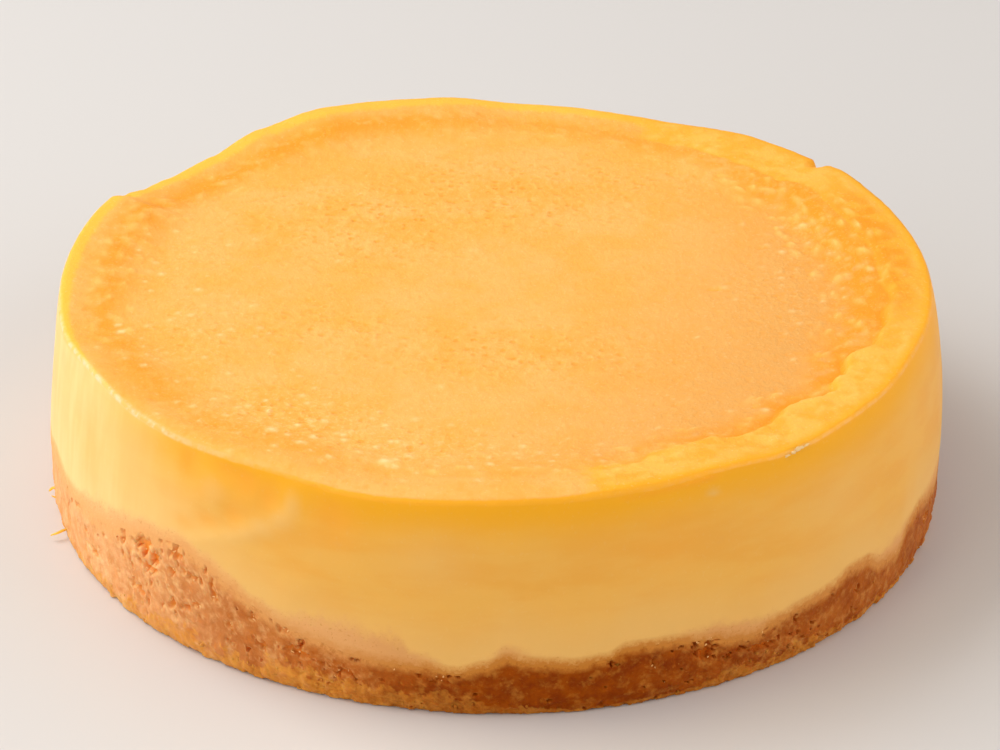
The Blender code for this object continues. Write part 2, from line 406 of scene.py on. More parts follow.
# Soft lumps where the skin wrinkles inside the rim
rimLumps = {
    # start and end angle, how many, how far in from the inner edge they lie, least and most height
    "zones": [
        (-76, -20, 44, -1.2, 7, 0.1, 0.34), (-20, 45, 60, -1.2, 12, 0.12, 0.4),
        (45, 140, 46, -1.2, 8, 0.08, 0.22), (140, 200, 56, -1.2, 8, 0.1, 0.32),
        (-160, -76, 50, -1.2, 9, 0.05, 0.16), (-76, -30, 34, -6, -1, 0.1, 0.26),
        (-30, 40, 34, -6, -1, 0.08, 0.2),
    ],
    "halfLength": (0.6, 1.5),  # along the rim
    "halfWidth": (0.35, 0.75),
    "tilt": 30,  # degrees
    # the ones that stand out: angle, distance in from the wall, half length, half width, height, tilt
    "single": [
        (30, 12.9, 1.4, 0.4, 0.4, 0), (26.5, 13.5, 1.6, 0.4, 0.45, -10), (22.3, 14.2, 1.2, 0.4, 0.4, 0),
        (24.6, 6.8, 1.5, 0.45, 0.4, 12), (21, 7.6, 1.6, 0.5, 0.45, 10), (16.5, 8.1, 1.6, 0.45, 0.45, 0),
        (12.8, 7.2, 1.4, 0.5, 0.4, -15), (21.4, 12.6, 0.8, 0.6, 0.35, 0), (18.4, 10.3, 1.0, 0.6, 0.45, 0),
        (12.9, 13.6, 1.6, 0.6, 0.5, 10), (8.8, 9.8, 1.4, 0.7, 0.5, 40), (9.1, 14.4, 0.6, 0.5, 0.4, 0),
        (2.7, 15.8, 1.4, 0.8, 0.45, -20), (-10.7, 16.1, 1.2, 0.7, 0.35, 0), (-12.9, 13.4, 0.7, 0.5, 0.4, 0),
        (-14.2, 11.9, 1.3, 0.8, 0.45, 0), (-16.2, 16.8, 0.7, 0.5, 0.4, 0), (38.8, 15.3, 0.8, 0.6, 0.4, 0),
        (36.1, 14.3, 1.2, 0.6, 0.45, 0), (-66.5, 10.2, 1.8, 0.5, 0.3, 0), (-58, 10.4, 1.9, 0.5, 0.3, 0),
        (-65.1, 6.9, 1.3, 0.7, 0.25, 30), (-74.1, 6.1, 1.2, 0.7, 0.3, 20), (-105, 10.5, 1.4, 0.8, 0.35, 0),
        (-98.3, 9.3, 1.1, 0.8, 0.3, 0), (-94.8, 11, 0.8, 0.6, 0.35, 0), (-86.5, 10.4, 1.0, 0.6, 0.25, 25),
        (-92.1, 8.9, 0.9, 0.6, 0.2, 0), (-80.8, 8.6, 1.2, 0.7, 0.2, 0), (153.3, 7.2, 1.5, 1.0, 0.35, 0),
        (156.6, 14.3, 0.7, 0.5, 0.3, 0), (161.9, 8.4, 1.5, 0.8, 0.35, 0), (165.1, 8.3, 1.6, 0.9, 0.35, 0),
        (177.9, 11.6, 0.8, 0.6, 0.4, 0), (-177, 6.4, 1.6, 1.0, 0.35, 0), (-163, 10.9, 1.1, 0.7, 0.35, 0),
        (-167.1, 9.8, 1.0, 0.3, 0.2, 40),
    ],
}


def raiseLumps(inset, angle, width):
    draw = random.Random(11)
    places = list(rimLumps["single"])
    for start, end, count, nearest, farthest, least, most in rimLumps["zones"]:
        for _ in range(count):
            place = draw.uniform(start, end)
            edge = width[np.argmin(np.abs(apart(angle, place)))]
            sizes = draw.uniform(*rimLumps["halfLength"]), draw.uniform(*rimLumps["halfWidth"])
            tilt = draw.uniform(-rimLumps["tilt"], rimLumps["tilt"])
            depth = edge + draw.uniform(nearest, farthest)
            places.append((place, depth, *sizes, draw.uniform(least, most), tilt))
    raised = np.zeros(len(inset))
    near = np.flatnonzero(inset < 28)
    for place, depth, halfLength, halfWidth, tall, tilt in places:
        along = np.radians(apart(angle[near], place)) * (cake["radius"] - depth)
        across = inset[near] - depth
        turn = math.radians(tilt)
        u = along * math.cos(turn) + across * math.sin(turn)
        v = across * math.cos(turn) - along * math.sin(turn)
        swell = tall * np.exp(-((u / halfLength) ** 2) - (v / halfWidth) ** 2)
        raised[near] = np.maximum(raised[near], swell)
    return raised


# Finish of the rim: angle, width of its bare edge (below 0 the skin runs right to the crease), how
# orange it is inside (partly painted shade of its inner slope), how strong the painted highlight along
# its crease is, and how toasted the wall is just below (browning with painted glow)
rimEdge = [
    (-180, 1.5, 0.8, 0.3, 0.1), (-165, 0.9, 0.8, 0.7, 0.0), (-150, 0.2, 0.75, 0.9, 0.05),
    (-138, -0.1, 0.6, 0.8, 0.4), (-130, -0.2, 0.5, 0.35, 0.8), (-118, -0.1, 0.4, 0.05, 0.95),
    (-105, 0.1, 0.25, 0.0, 1.0), (-85, 0.1, 0.35, 0.0, 1.0), (-65, 0.6, 0.6, 0.1, 1.0),
    (-45, 1.2, 0.8, 0.25, 1.0), (-20, 1.5, 1, 0.25, 1.0), (0, 1.5, 1, 0.15, 0.9),
    (30, 2.2, 1, 0.1, 0.8), (60, 2.6, 0.7, 0.1, 0.8), (90, 2.8, 0.6, 0.1, 0.7),
    (115, 3.0, 0.9, 0.1, 0.5), (140, 2.4, 0.9, 0.1, 0.3), (150, 2.0, 0.9, 0.2, 0.2),
    (158, 1.8, 0.9, 0.7, 0.15), (167, 1.6, 0.9, 0.2, 0.1),
]

# Dents, flutes and ridges in the wall: angle, height, half width, half height, depth (less than 0 stands out)
wallDents = [
    (-129.6, 32.8, 2.0, 3.0, 0.28), (-123.8, 33.9, 2.0, 1.6, 0.22), (-120.8, 33.0, 2.2, 2.0, 0.28),
    (-117.6, 31.6, 2.0, 2.6, 0.22), (-125.5, 29.5, 2.6, 2.4, -0.12), (-129.6, 22.6, 2.6, 1.4, 0.16),
    (-126.0, 24.6, 2.6, 1.4, 0.2), (-122.4, 27.0, 2.4, 1.5, 0.2),
    (-127.2, 20.4, 2.2, 1.1, -0.14), (-124.9, 22.0, 2.2, 1.1, -0.18), (-122.6, 23.5, 2.2, 1.1, -0.2),
    (-120.3, 24.9, 2.2, 1.2, -0.22), (-118.2, 26.6, 2.1, 1.3, -0.22), (-116.0, 28.6, 1.9, 1.5, -0.2),
    (-114.4, 31.2, 1.7, 2.2, -0.16), (-109, 31, 3.5, 4, 0.2), (-140, 27, 4, 8, -0.15),
    (-150, 24, 5, 8, 0.12), (-97, 26, 6, 5, -0.1), (-70, 27, 7, 5, 0.1), (-45, 24, 8, 5, -0.12),
    (-63.4, 33.4, 1.1, 0.6, -0.2),
    (25, 27, 3, 6, 0.3), (33, 24, 2.5, 7, -0.3), (64, 26, 4, 6, 0.25), (92, 29, 3, 5, -0.25),
    (121, 25, 3.5, 7, 0.3), (148, 28, 3, 6, 0.25), (155, 24, 4, 7, -0.2),
]

# A fold under the crease, where the skin has peeled a little
fold = {
    "start": -77,
    "end": -63.6,
    "heights": (34.7, 35.6),
    "halfHeight": 0.4,
    "depth": 0.3,
}


def dented(height, angle):
    # how far the wall's dents draw it in
    total = np.zeros(len(height))
    for place, level, width, tall, depth in wallDents:
        across = np.radians(apart(angle, place)) * cake["radius"]
        total += depth * np.exp(-((across / width) ** 2) - ((height - level) / tall) ** 2)
    return total


def folded(height, angle):
    # 1 along the fold
    share = np.clip(apart(angle, fold["start"]) / (fold["end"] - fold["start"]), 0, 1)
    level = blend(*fold["heights"], share)
    line = np.exp(-(((height - level) / fold["halfHeight"]) ** 2))
    return line * within(angle, fold["start"] + 3, fold["end"], 2) * (0.35 + 0.65 * share)


def makeFilling():
    flat, faces, border = discGrid(filling["grid"], filling["gridRadius"])
    over, down = fillingRings()
    count = len(border)
    turn = np.arange(count) * 360 / count - 45
    radius = [np.hypot(flat[:, 0], flat[:, 1])]
    angle = [np.degrees(np.arctan2(flat[:, 1], flat[:, 0]))]
    for ring in over:
        radius.append(np.full(count, ring))
        angle.append(turn)
    radius, angle = np.concatenate(radius), np.concatenate(angle)

    width = rimWidth(angle)
    height = topHeight(radius, angle, width)
    places = polar(radius, angle, 0 * radius)
    inset = cake["radius"] - radius
    inside = smooth((inset - width) / 1.5)  # 1 on the sunken top, 0 on the rim
    fade = smooth(inset / 2)
    height += fade * (0.15 * grain(places, 24, 1, 2) + 0.04 * grain(places, 5, 2, 2))
    height += fade * (1 - inside) * (0.14 * grain(places, 4.2, 6, 2) + 0.07 * grain(places, 1.7, 7, 2))
    roundEdge = polar(cake["radius"], angle, 0 * angle)
    height += (1 - fade) * rim["ragged"] * grain(roundEdge, 2.6, 10, 2)
    raised = raiseLumps(inset, angle, width)
    bubbles, bubblePaleness = raiseBubbles(places[:, 0], places[:, 1])
    height, pressed = pressMarks(places[:, :2], height + fade * np.maximum(raised, bubbles))
    spread = outline(height, angle) / cake["radius"]
    top = polar(radius * spread, angle, height)
    topCount = len(top)

    # down the wall, from the crease to the crumb line, then in behind the crumbs
    crease, low = height[-count:], around(crumbLine, 1, turn)
    wall, wallDepth, wallDent = [], [], []
    for share in down:
        level = blend(crease, low, share)
        strength = smooth((crease - level) / 1.5) * smooth((level - low) / 3)
        streaks = 0.05 * grain(polar(cake["radius"], turn, level * 0.08), 5, 8, 2)
        streaks *= within(turn, -175, -110, 10)
        ripple = 0.12 * grain(polar(cake["radius"], turn, level), 11, 9, 2)
        dent = strength * dented(level, turn) + fold["depth"] * folded(level, turn)
        edge = outline(level, turn) - dent - strength * (streaks + ripple)
        wall.append(polar(edge, turn, level))
        wallDepth.append(crease - level)
        wallDent.append(dent)
    under = outline(low, turn)
    tuck = filling["tuck"]
    hidden = [polar(under - tuck, turn, low), polar(under - 8, turn, low - 0.2)]
    hidden += [polar(np.full(count, r), turn, np.full(count, cake["baseInside"] + 0.2)) for r in (50, 20)]
    points = np.concatenate([top, *wall, *hidden, [[0, 0, cake["baseInside"] + 0.2]]])

    first = border
    for ring in range(len(over) + len(down) + len(hidden)):
        start = len(flat) + ring * count
        second = list(range(start, start + count))
        faces += ringFaces(first, second)
        first = second
    middle = len(points) - 1
    faces += [(first[k], middle, first[(k + 1) % count]) for k in range(count)]
    piece = makePiece("cheeseFilling", points, faces)

    total, wallEnd = len(points), topCount + len(down) * count
    onTop = np.arange(total) < topCount
    allAngle = np.degrees(np.arctan2(points[:, 1], points[:, 0]))

    def topOnly(values):
        full = np.zeros(total)
        full[:topCount] = values
        return full

    belowCrease = np.full(total, 30.0)
    belowCrease[:topCount] = 0
    belowCrease[topCount:wallEnd] = np.concatenate(wallDepth)
    dent = np.zeros(total)
    dent[topCount:wallEnd] = np.concatenate(wallDent)
    aboveLine = points[:, 2] - around(crumbLine, 1, allAngle)
    # how wide the smooth edge of the rim is, before the baked skin starts
    topAngle = allAngle[:topCount]
    bare = around(rimEdge, 1, topAngle)
    band = (1 - inside) * within(topAngle, -74, 62, 8)
    reach = 3.6 + 3 * within(topAngle, -15, 30, 20)
    deep = np.exp(-(((inset - width) / reach - 0.6) ** 2)) * smooth((inset - 1) / 4)
    past = (inset - width) / rim["stepWidth"]
    step = around(rim["stops"], 4, topAngle)
    x, y = places[:, 0], places[:, 1]
    skin = np.clip((inset - bare) / (0.4 + 0.8 * np.maximum(bare, 0)), 0, 1)
    writeMask(piece, "skin", topOnly(skin * (1 - band)))
    # deeper orange inside the rim: partly the skin's own colour, partly painted shade of the rim's inner
    # slope
    writeMask(piece, "innerRim", topOnly(deep * around(rimEdge, 2, topAngle)))
    # painted shade in the crevice under the torn inner edge; at the notch, the tear's own brown
    crevice = topOnly(np.exp(-(((past - 0.6) / 0.6) ** 2)) * step)
    torn = np.exp(-((apart(allAngle, rim["notch"][0] + 2.2) / 1.4) ** 2))
    fromWall = np.maximum(cake["radius"] - np.hypot(points[:, 0], points[:, 1]) - 2, 0)
    torn *= np.where(onTop, 1 - smooth(fromWall / 2.4), 0.6)
    crevice = np.maximum(crevice, 0.9 * torn * (points[:, 2] > 35))
    writeMask(piece, "crevice", crevice)
    # paler on the raised lumps: partly their own pale skin, partly painted highlight
    writeMask(piece, "lump", topOnly(raised / 0.4))
    writeMask(piece, "bubble", topOnly(bubblePaleness))
    # deeper orange in the pressed marks: partly the skin's colour, partly painted shade
    writeMask(piece, "pressed", topOnly(pressed / 0.25))
    # darker and tanner towards the right front, away from the window lamp: painted shade
    writeMask(piece, "shadeAwayFromLamp", topOnly(smooth((0.94 * x - 0.34 * y - 5) / 55) * smooth((inset - 8) / 6)))
    writeMask(piece, "baked", topOnly(smooth(inset / 0.8)))
    writeMask(piece, "ledge", topOnly(band * smooth((inset - 0.6) / 1.8)))
    writeMask(piece, "ledgeOrange", topOnly(band * within(topAngle, -4, 20, 16) * smooth((inset - 1) / 3)))
    speckled = sum(
        many / 70 * np.exp(-(((x - cx) / wide) ** 2) / 2 - ((y - cy) / deep) ** 2 / 2)
        for cx, cy, wide, deep, many in skinBubbles["patches"]
    )
    writeMask(piece, "speckled", topOnly(speckled))
    nearRim = 0.3 * smooth((20 - inset) / 8)
    writeMask(piece, "pitted", topOnly(np.maximum(crowding(x, y), np.maximum(speckled, nearRim))))
    writeMask(piece, "soaked", around(soakStops, 1, allAngle))
    bareWall = np.clip(around(rimEdge, 1, allAngle), 0, 1)
    writeMask(piece, "edge", np.where(onTop, 1, bareWall * np.exp(-((belowCrease / 0.45) ** 2))))
    # browning that runs over the edge, with painted glow: the orange of light shining through the rim is
    # painted onto the top of the wall
    toastedGlow = np.exp(-((belowCrease / 5.2) ** 2)) * around(rimEdge, 4, allAngle)
    writeMask(piece, "toastedGlow", toastedGlow)
    # darker orange in the dents: partly the cheese's own colour, partly painted shade
    writeMask(piece, "dent", np.maximum(dent / 0.5, 0))
    # paler where the wall stands out: painted highlight on the ridges
    writeMask(piece, "ridgeHighlight", np.maximum(-dent / 0.24, 0))
    writeMask(piece, "lowWall", 1 - smooth((aboveLine - 1) / 12))
    writeMask(piece, "crumbMix", 1 - smooth(aboveLine / (1 + around(crumbLine, 2, allAngle))))
    writeMask(piece, "wideMix", (around(crumbLine, 2, allAngle) - 1) / 3)
    writeMask(piece, "seam", 1 - aboveLine / (2 - 0.6 * around(soakStops, 1, allAngle)))
    writeMask(piece, "glow", smooth((aboveLine - 0.2) / 3))
    writeMask(piece, "yellowSide", within(allAngle, 80, 206, 22))
    # paler streaks on the left wall, towards the window: painted sheen
    writeMask(piece, "paintedSheenSide", 0.75 * within(allAngle, 178, 206, 31))
    rimGlow = np.exp(-((belowCrease / 6) ** 2))
    rimGlow[:topCount] = smooth((14 - inset) / 6)
    writeMask(piece, "rimGlow", rimGlow)
    # a pale line along the crease where the edge catches the light: painted highlight
    creaseHighlightShare = around(rimEdge, 3, allAngle)
    thick = 0.1 + 0.2 * creaseHighlightShare
    fromCrease = np.where(onTop, 0, belowCrease) + topOnly(inset * 0.7)
    writeMask(piece, "creaseHighlight", np.exp(-((fromCrease / thick) ** 2)) * creaseHighlightShare)
    return piece


base = {
    "turns": 1664,  # points round the cake
    "rows": 42,
    "underRings": (74, 70, 62, 45, 20),
    "relief": 0.1,
    "footRelief": 0.13,
    # how high the loose golden crumbs of the foot reach: angle, height
    "footTops": [
        (-180, 1.6), (-150, 2.4), (-128, 5.0), (-105, 5.2), (-93, 3.4), (-84, 0.9), (-66, 1.0),
        (-60, 3.4), (-52, 3.4), (-40, 1.6), (0, 1.6), (60, 2.4), (120, 2.4),
    ],
    "smallHoles": 0.05,  # depth
    # angle, height, half width, half height, depth
    "holes": [
        (-140.6, 14.4, 0.4, 0.9, 0.6), (-136.7, 15.4, 1.3, 1.0, 1.0), (-134.6, 13.8, 0.8, 1.1, 0.9),
        (-130.8, 16.2, 0.7, 0.8, 0.8), (-135.2, 11.6, 1.3, 0.5, 0.9), (-131.6, 13.6, 0.8, 0.35, 0.6),
        (-127.6, 14.0, 1.2, 0.3, 0.6), (-124.6, 12.6, 0.5, 0.4, 0.6), (-119, 11.0, 0.4, 0.3, 0.5),
        (-127.4, 9.4, 0.6, 0.35, 0.5),
        (-114.8, 10.5, 0.45, 0.35, 0.6), (-131.5, 7.4, 0.5, 0.7, 0.7), (-122.5, 8.2, 0.4, 0.35, 0.5),
        (-118, 6.0, 0.5, 0.4, 0.6), (-113.5, 7.2, 0.7, 0.35, 0.7), (-138.5, 6.6, 0.8, 0.4, 0.6),
        (-64.5, 7.2, 0.7, 1.2, 1.0), (-56.8, 5.0, 3.0, 0.4, 0.9), (-56.7, 8.6, 0.35, 1.1, 0.7),
        (-71.2, 6.6, 0.3, 0.3, 0.4), (-65.6, 9.4, 0.3, 0.3, 0.4), (-63.8, 9.4, 0.25, 0.25, 0.4),
        (-107.4, 5.5, 0.9, 0.35, 0.7), (-96, 6.5, 0.5, 0.4, 0.5), (-148, 6.2, 1.0, 0.4, 0.6),
        (-20, 6.2, 1.1, 0.5, 0.8),
        (8, 7.2, 1.2, 0.8, 0.9), (31, 5.5, 0.9, 0.6, 0.8), (58, 6.8, 1.6, 0.6, 0.9),
        (83, 8.2, 0.8, 1.0, 0.8), (101, 5.4, 1.3, 0.5, 0.8), (128, 7.5, 0.9, 0.9, 0.9),
        (146, 5.2, 1.8, 0.5, 0.8), (163, 6.6, 0.7, 0.8, 0.7),
    ],
}


def makeBase():
    count = base["turns"]
    turn = np.arange(count) * 360 / count
    line = around(crumbLine, 1, turn)
    shares = np.linspace(1, 0, base["rows"] + 1)
    angle = np.tile(turn, len(shares))
    height = np.concatenate([line * share for share in shares])
    edge = outline(height, angle)
    places = polar(cake["radius"], angle, height)
    toLine = np.tile(line, len(shares)) - height

    border, value = cells(places, 1.7, 1)
    fineBorder, fineValue = cells(places, 0.9, 2)
    broad = grain(places, 6, 11, 3)
    small = grain(places, 1.25, 14, 2)
    footTop = around(base["footTops"], 1, angle)
    foot = 1 - smooth((height - footTop * (0.75 + 0.6 * broad + 0.45 * small)) / 2.4)
    packed = smooth(0.6 + 0.9 * grain(places, 4, 12, 2))  # 1 where crumbs are pressed flush
    crack = np.exp(-((border / 0.26) ** 2))
    fineCrack = np.exp(-((fineBorder / 0.2) ** 2))
    depth = base["relief"] * (1 - 0.7 * packed) * (0.35 * crack + value - 0.4 - 0.4 * small) - 0.06 * broad
    depth += foot * base["footRelief"] * (0.5 * fineCrack + fineValue + value - 0.8)
    depth += base["smallHoles"] * smooth((small - 0.48) / 0.12) * smooth((broad + 0.1) / 0.3)
    hole, halo = np.zeros(len(angle)), np.zeros(len(angle))
    for place, level, width, tall, deep in base["holes"]:
        across = np.radians(apart(angle, place)) * cake["radius"]
        reach = np.sqrt((across / width) ** 2 + ((height - level) / tall) ** 2)
        reach *= 1 + 0.5 * small + 0.5 * (fineValue - 0.5)
        hole = np.maximum(hole, deep * (1 - smooth((reach - 0.6) / 0.5)))
        halo = np.maximum(halo, np.exp(-(((reach - 1.4) / 0.4) ** 2)))
    strength = smooth(toLine / 1.6)
    depth = depth * strength + hole * smooth((toLine + 0.2) / 0.6)
    wall = polar(edge - depth, angle, height)

    inner = [polar(np.full(count, r), turn, np.full(count, cake["baseInside"])) for r in (20, 50)]
    lid = [polar(outline(line, turn) - 8, turn, line - 0.4)]
    under = [polar(np.full(count, r - 1.2), turn, 0 * turn) for r in base["underRings"]]
    points = np.concatenate([[[0, 0, cake["baseInside"]]], *inner, *lid, wall, *under, [[0, 0, 0]]])
    rings = len(inner) + len(lid) + len(shares) + len(under)
    faces, first = [], list(range(1, count + 1))
    faces += [(0, first[k], first[(k + 1) % count]) for k in range(count)]
    for ring in range(1, rings):
        second = list(range(1 + ring * count, 1 + (ring + 1) * count))
        faces += ringFaces(first, second)
        first = second
    last = len(points) - 1
    faces += [(first[k], last, first[(k + 1) % count]) for k in range(count)]
    piece = makePiece("biscuitBase", points, faces)

    start = 1 + (len(inner) + len(lid)) * count

    def wallOnly(values, elsewhere=0.0):
        full = np.full(len(points), elsewhere)
        full[start:start + len(values)] = values
        return full

    allAngle = np.degrees(np.arctan2(points[:, 1], points[:, 0]))
    writeMask(piece, "hollow", wallOnly(np.maximum(hole / 0.8, (depth - 0.35) / 0.8)))
    writeMask(piece, "halo", wallOnly(halo))
    writeMask(piece, "foot", wallOnly(foot, 1))
    writeMask(piece, "nearCheese", wallOnly(1 - toLine / (3 - 1.4 * around(soakStops, 1, angle))))
    writeMask(piece, "glow", wallOnly(smooth((toLine - 0.2) / 2)))
    writeMask(piece, "soaked", around(soakStops, 1, allAngle))
    return piece


# A little ball that the crumbs, flecks and flakes are made from
ballMesh = bmesh.new()
bmesh.ops.create_icosphere(ballMesh, subdivisions=2, radius=1)
ballPoints = np.array([vertex.co[:] for vertex in ballMesh.verts])
ballFaces = np.array([[vertex.index for vertex in face.verts] for face in ballMesh.faces])
ballMesh.free()


def scatter(name, spots, rough, seed, pale=0):
    # one mesh of many small lumps, the first few of them pale; a spot is a middle, the way out of
    # the surface, three half sizes and a spin
    draw = np.random.RandomState(seed)
    points, faces, values = [], [], []
    for n, (middle, out, sizes, spin) in enumerate(spots):
        shape = ballPoints * (1 + rough * draw.uniform(-1, 1, (len(ballPoints), 1)))
        turned = Vector(out).to_track_quat("Z", "Y").to_matrix() @ Matrix.Rotation(spin, 3, "Z")
        points.append(np.array(middle) + (shape * sizes) @ np.array(turned).T)
        faces.append(ballFaces + n * len(ballPoints))
        values.append(np.full(len(ballPoints), draw.uniform(0, 0.6) if n >= pale else 1))
    piece = makePiece(name, np.concatenate(points), np.concatenate(faces).tolist())
    writeMask(piece, "crumb", np.concatenate(values))
    return piece


def crustSpot(angle, height, rise):
    # a place on the crust, `rise` outside it, and the way out
    radius = float(outline(np.array([height]), np.array([angle]))[0]) + rise
    return polar(radius, angle, height), polar(1.0, angle, 0.25)


looseCrumbs = {
    "count": 160,
    "size": (0.1, 0.34),  # half of it
    "top": 2.6,  # most of them lie below this
    "sunk": 0.34,  # how far their middles are inside the crust
    # more of them here: angle, spread in degrees, height, spread in height, count
    "heaps": [
        (-57, 4, 3.2, 0.6, 26), (-128, 12, 1.6, 0.9, 110), (-106, 10, 1.4, 0.9, 60), (-34, 8, 1.6, 0.7, 24),
    ],
}


def makeCrumbs():
    draw = random.Random(21)
    places = []
    for _ in range(looseCrumbs["count"]):
        height = looseCrumbs["top"] * draw.random() ** 1.6
        places.append((draw.uniform(-180, 180), height))
    for angle, spread, height, tall, count in looseCrumbs["heaps"]:
        places += [(draw.gauss(angle, spread), abs(draw.gauss(height, tall))) for _ in range(count)]
    spots = []
    for angle, height in places:
        least, most = looseCrumbs["size"]
        size = least + (most - least) * draw.random() ** 2
        middle, out = crustSpot(angle, height + 0.5 * size, -looseCrumbs["sunk"] + 0.3 * draw.random())
        sizes = [size * draw.uniform(0.7, 1.25) for _ in range(3)]
        spots.append((middle, out, sizes, draw.uniform(0, 6)))
    piece = scatter("looseCrumbs", spots, 0.24, 22)
    angles = np.repeat([angle for angle, _ in places], len(ballPoints))
    writeMask(piece, "soaked", around(soakStops, 1, angles))
    writeMask(piece, "foot", np.ones(len(angles)))
    writeMask(piece, "glow", np.ones(len(angles)))
    return piece


# small pale flecks on the crust, round the holes and here and there: partly pale crumbs of sugar and cheese,
# partly painted glints
flecksAndGlints = {
    "count": 40,
    "size": (0.08, 0.17),
    "aroundHoles": 2,  # at each hole
}


def makeFlecks():
    draw = random.Random(31)
    places = []
    for _ in range(flecksAndGlints["count"]):
        angle = draw.uniform(-180, 180)
        line = float(around(crumbLine, 1, np.array([angle]))[0])
        places.append((angle, draw.uniform(1.5, line + 0.6)))
    for angle, level, width, tall, _ in base["holes"]:
        for _ in range(flecksAndGlints["aroundHoles"]):
            turn = draw.uniform(0, 2 * math.pi)
            across = math.degrees(1.05 * width * math.cos(turn) / cake["radius"])
            places.append((angle + across, level + 1.05 * tall * math.sin(turn)))
    spots = []
    for angle, height in places:
        size = draw.uniform(*flecksAndGlints["size"])
        middle, out = crustSpot(angle, height, -0.12 + 0.1 * draw.random())
        sizes = (size * draw.uniform(0.9, 2.2), size * draw.uniform(0.5, 1), size * 0.6)
        spots.append((middle, out, sizes, draw.uniform(0, 6)))
    return scatter("flecksAndGlints", spots, 0.35, 32)


creamFlakes = {
    # angle, height above the crease, how far out of the wall, half length, half height, half depth
    "crumbs": [
        (-52.6, -0.3, -0.1, 0.6, 0.22, 0.25), (-51.6, -0.15, -0.12, 0.6, 0.3, 0.3),
        (-50.9, 0, -0.2, 0.7, 0.38, 0.4), (-50.2, 0, -0.2, 0.55, 0.3, 0.3),
        (-49.4, 0.05, -0.18, 0.8, 0.18, 0.25), (158.6, 0.5, -1.0, 0.7, 0.25, 0.3),
    ],
}


def makeFlakes():
    spots = []
    for angle, above, rise, long, tall, deep in creamFlakes["crumbs"]:
        place = np.array([float(angle)])
        crease = around(rim["stops"], 1, place)[0] - around(rim["creases"], 1, place)[0]
        middle, out = crustSpot(angle, crease + above, rise)
        spots.append((middle, out, (long, tall, deep), 0))
    return scatter("creamFlakes", spots, 0.3, 52, len(spots))


# Thin threads of cheese left at the foot: the points each one runs through, and its thickness
cheeseThreads = [
    ([(-168.4, 73.6, 3.4), (-168.2, 74.6, 3.5), (-168.6, 75.4, 3.3), (-168.3, 76.0, 2.9)], 0.34),
    ([(-161.0, 73.6, 0.9), (-160.6, 74.9, 1.3), (-160.2, 76.2, 1.2), (-160.4, 77.4, 0.8)], 0.3),
    ([(-167.2, 73.8, 2.5), (-167.0, 74.8, 2.4), (-167.4, 75.7, 2.7)], 0.22),
]


def makeThreads():
    sides, points, faces = 8, [], []
    for stops, thick in cheeseThreads:
        ends = [polar(radius, angle, height) for angle, radius, height in stops]
        share = np.linspace(0, len(ends) - 1, 14)
        path = [np.interp(share, range(len(ends)), [end[k] for end in ends]) for k in range(3)]
        path = np.stack(path, axis=1)
        path[1:-1] = (path[:-2] + path[1:-1] + path[2:]) / 3
        start = len(points)
        for n, place in enumerate(path):
            along = Vector(path[min(n + 1, len(path) - 1)] - path[max(n - 1, 0)]).normalized()
            side = along.cross(Vector((0, 0, 1))).normalized()
            lift = side.cross(along)
            size = thick * (0.35 + 0.65 * math.sin(math.pi * (n + 1) / (len(path) + 1)))
            for k in range(sides):
                turn = 2 * math.pi * k / sides
                out = math.cos(turn) * np.array(side) + 0.6 * math.sin(turn) * np.array(lift)
                points.append(place + size * out)
        rings = [list(range(start + n * sides, start + (n + 1) * sides)) for n in range(len(path))]
        for first, second in zip(rings, rings[1:]):
            faces += ringFaces(first, second)
        faces += [tuple(rings[0]), tuple(reversed(rings[-1]))]
    piece = makePiece("cheeseThreads", points, faces)
    for name in ("edge", "yellowSide", "glow"):
        writeMask(piece, name, np.ones(len(points)))
    return piece


def linear(color):
    # from the values of a colour picker, 0 to 255, to the shader's own
    return [(c / 255 / 12.92) if c <= 10 else ((c / 255 + 0.055) / 1.055) ** 2.4 for c in color] + [1]


